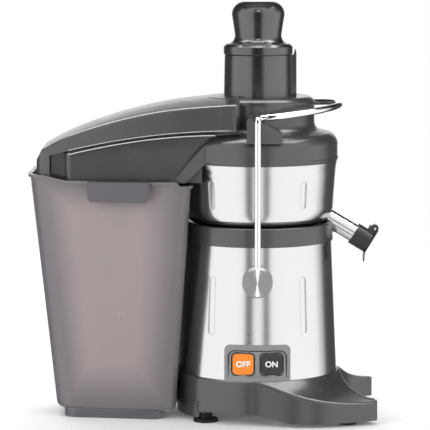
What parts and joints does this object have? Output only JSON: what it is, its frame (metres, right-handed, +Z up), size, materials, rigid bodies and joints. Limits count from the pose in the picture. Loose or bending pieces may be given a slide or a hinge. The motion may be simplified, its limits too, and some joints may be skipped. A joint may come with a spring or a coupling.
{
  "type": "centrifugal juicer",
  "caption": "Countertop centrifugal juicer: steel motor housing and juice bowl, clamped lid with feed tube and chute, spout with drip flap, pulp bin at the side.",
  "frame": {"origin": "centre of the bounding box on the plane that the feet stand on", "axes": "+Z up, -Y is the front with the buttons, +X is the spout side, -X is the bin side"},
  "size_m": [0.4233, 0.224, 0.502],
  "materials": {
    "dark_plastic": "satin moulded, fine texture",
    "black_rubber": "matt",
    "brushed_steel": "brushed stainless",
    "chrome_rod": "polished",
    "plain_steel": "turned",
    "core_steel": "stacked sheets",
    "copper_winding": "enamelled wire",
    "cast_alloy": "die cast",
    "hub_plastic": "moulded",
    "grey_panel": "satin moulded",
    "orange_key": "glossy moulded",
    "black_key": "glossy moulded",
    "smoked_bin": "smoked translucent"
  },
  "bodies": {
    "root": {"base_housing": "dark_plastic", "rubber_feet": "black_rubber", "base_cover": "dark_plastic", "cover_screws": "plain_steel", "motor_housing": "brushed_steel", "cord_gland": "black_rubber", "switch_panel": "grey_panel", "switch_blocks": "dark_plastic", "motor_plate": "cast_alloy", "lower_bracket": "cast_alloy", "upper_bracket": "cast_alloy", "lower_bearing": "plain_steel", "upper_bearing": "plain_steel", "stator_core": "core_steel", "windings": "copper_winding", "motor_bolts": "plain_steel", "stator_sleeve": "plain_steel", "capacitor": "hub_plastic", "shaft_seal": "black_rubber", "seat_ring": "dark_plastic", "ring_screws": "plain_steel", "juice_bowl": "brushed_steel", "spout_tube": "brushed_steel", "nozzle_cap": "dark_plastic", "flap_pin": "plain_steel", "lid": "dark_plastic", "pulp_hood": "dark_plastic", "feed_tube": "dark_plastic", "lid_seal": "black_rubber", "pivot_bushes": "hub_plastic", "pivot_studs": "plain_steel"},
    "plunger": {"plunger_body": "dark_plastic", "plunger_knob": "dark_plastic"},
    "clamp": {"clamp_arm": "chrome_rod", "clamp_knobs": "brushed_steel"},
    "spinner": {"motor_shaft": "plain_steel", "rotor": "core_steel", "cooling_fan": "dark_plastic", "drive_hub": "hub_plastic", "filter_basket": "brushed_steel", "grater_disc": "brushed_steel", "basket_nut": "hub_plastic"},
    "flap": {"drip_flap": "dark_plastic"},
    "off_key": {"off_button": "orange_key"},
    "on_key": {"on_button": "black_key"},
    "bin": {"pulp_bin": "smoked_bin", "bin_grips": "smoked_bin"}
  },
  "joints": [
    {"name": "plunger_lift", "type": "slide", "parent": "root", "child": "plunger", "axis": [0, 0, 1], "range_m": [0, 0.16]},
    {"name": "clamp_swing", "type": "hinge", "parent": "root", "child": "clamp", "pos_m": [0.0646, 0, 0.1745], "axis": [0, 1, 0], "range_deg": [0, 100]},
    {"name": "spin", "type": "hinge", "parent": "root", "child": "spinner", "pos_m": [0.0646, 0, 0.2], "axis": [0, 0, 1], "continuous": true},
    {"name": "flap_swing", "type": "hinge", "parent": "root", "child": "flap", "pos_m": [0.20721, 0, 0.22648], "axis": [0, -1, 0], "range_deg": [0, 80]},
    {"name": "off_push", "type": "slide", "parent": "root", "child": "off_key", "axis": [0, 1, 0], "range_m": [0, 0.003], "stiffness_N_per_m": 800},
    {"name": "on_push", "type": "slide", "parent": "root", "child": "on_key", "axis": [0, 1, 0], "range_m": [0, 0.003], "stiffness_N_per_m": 800},
    {"name": "bin_slide", "type": "slide", "parent": "root", "child": "bin", "axis": [-1, 0, 0], "range_m": [0, 0.25]}
  ]
}
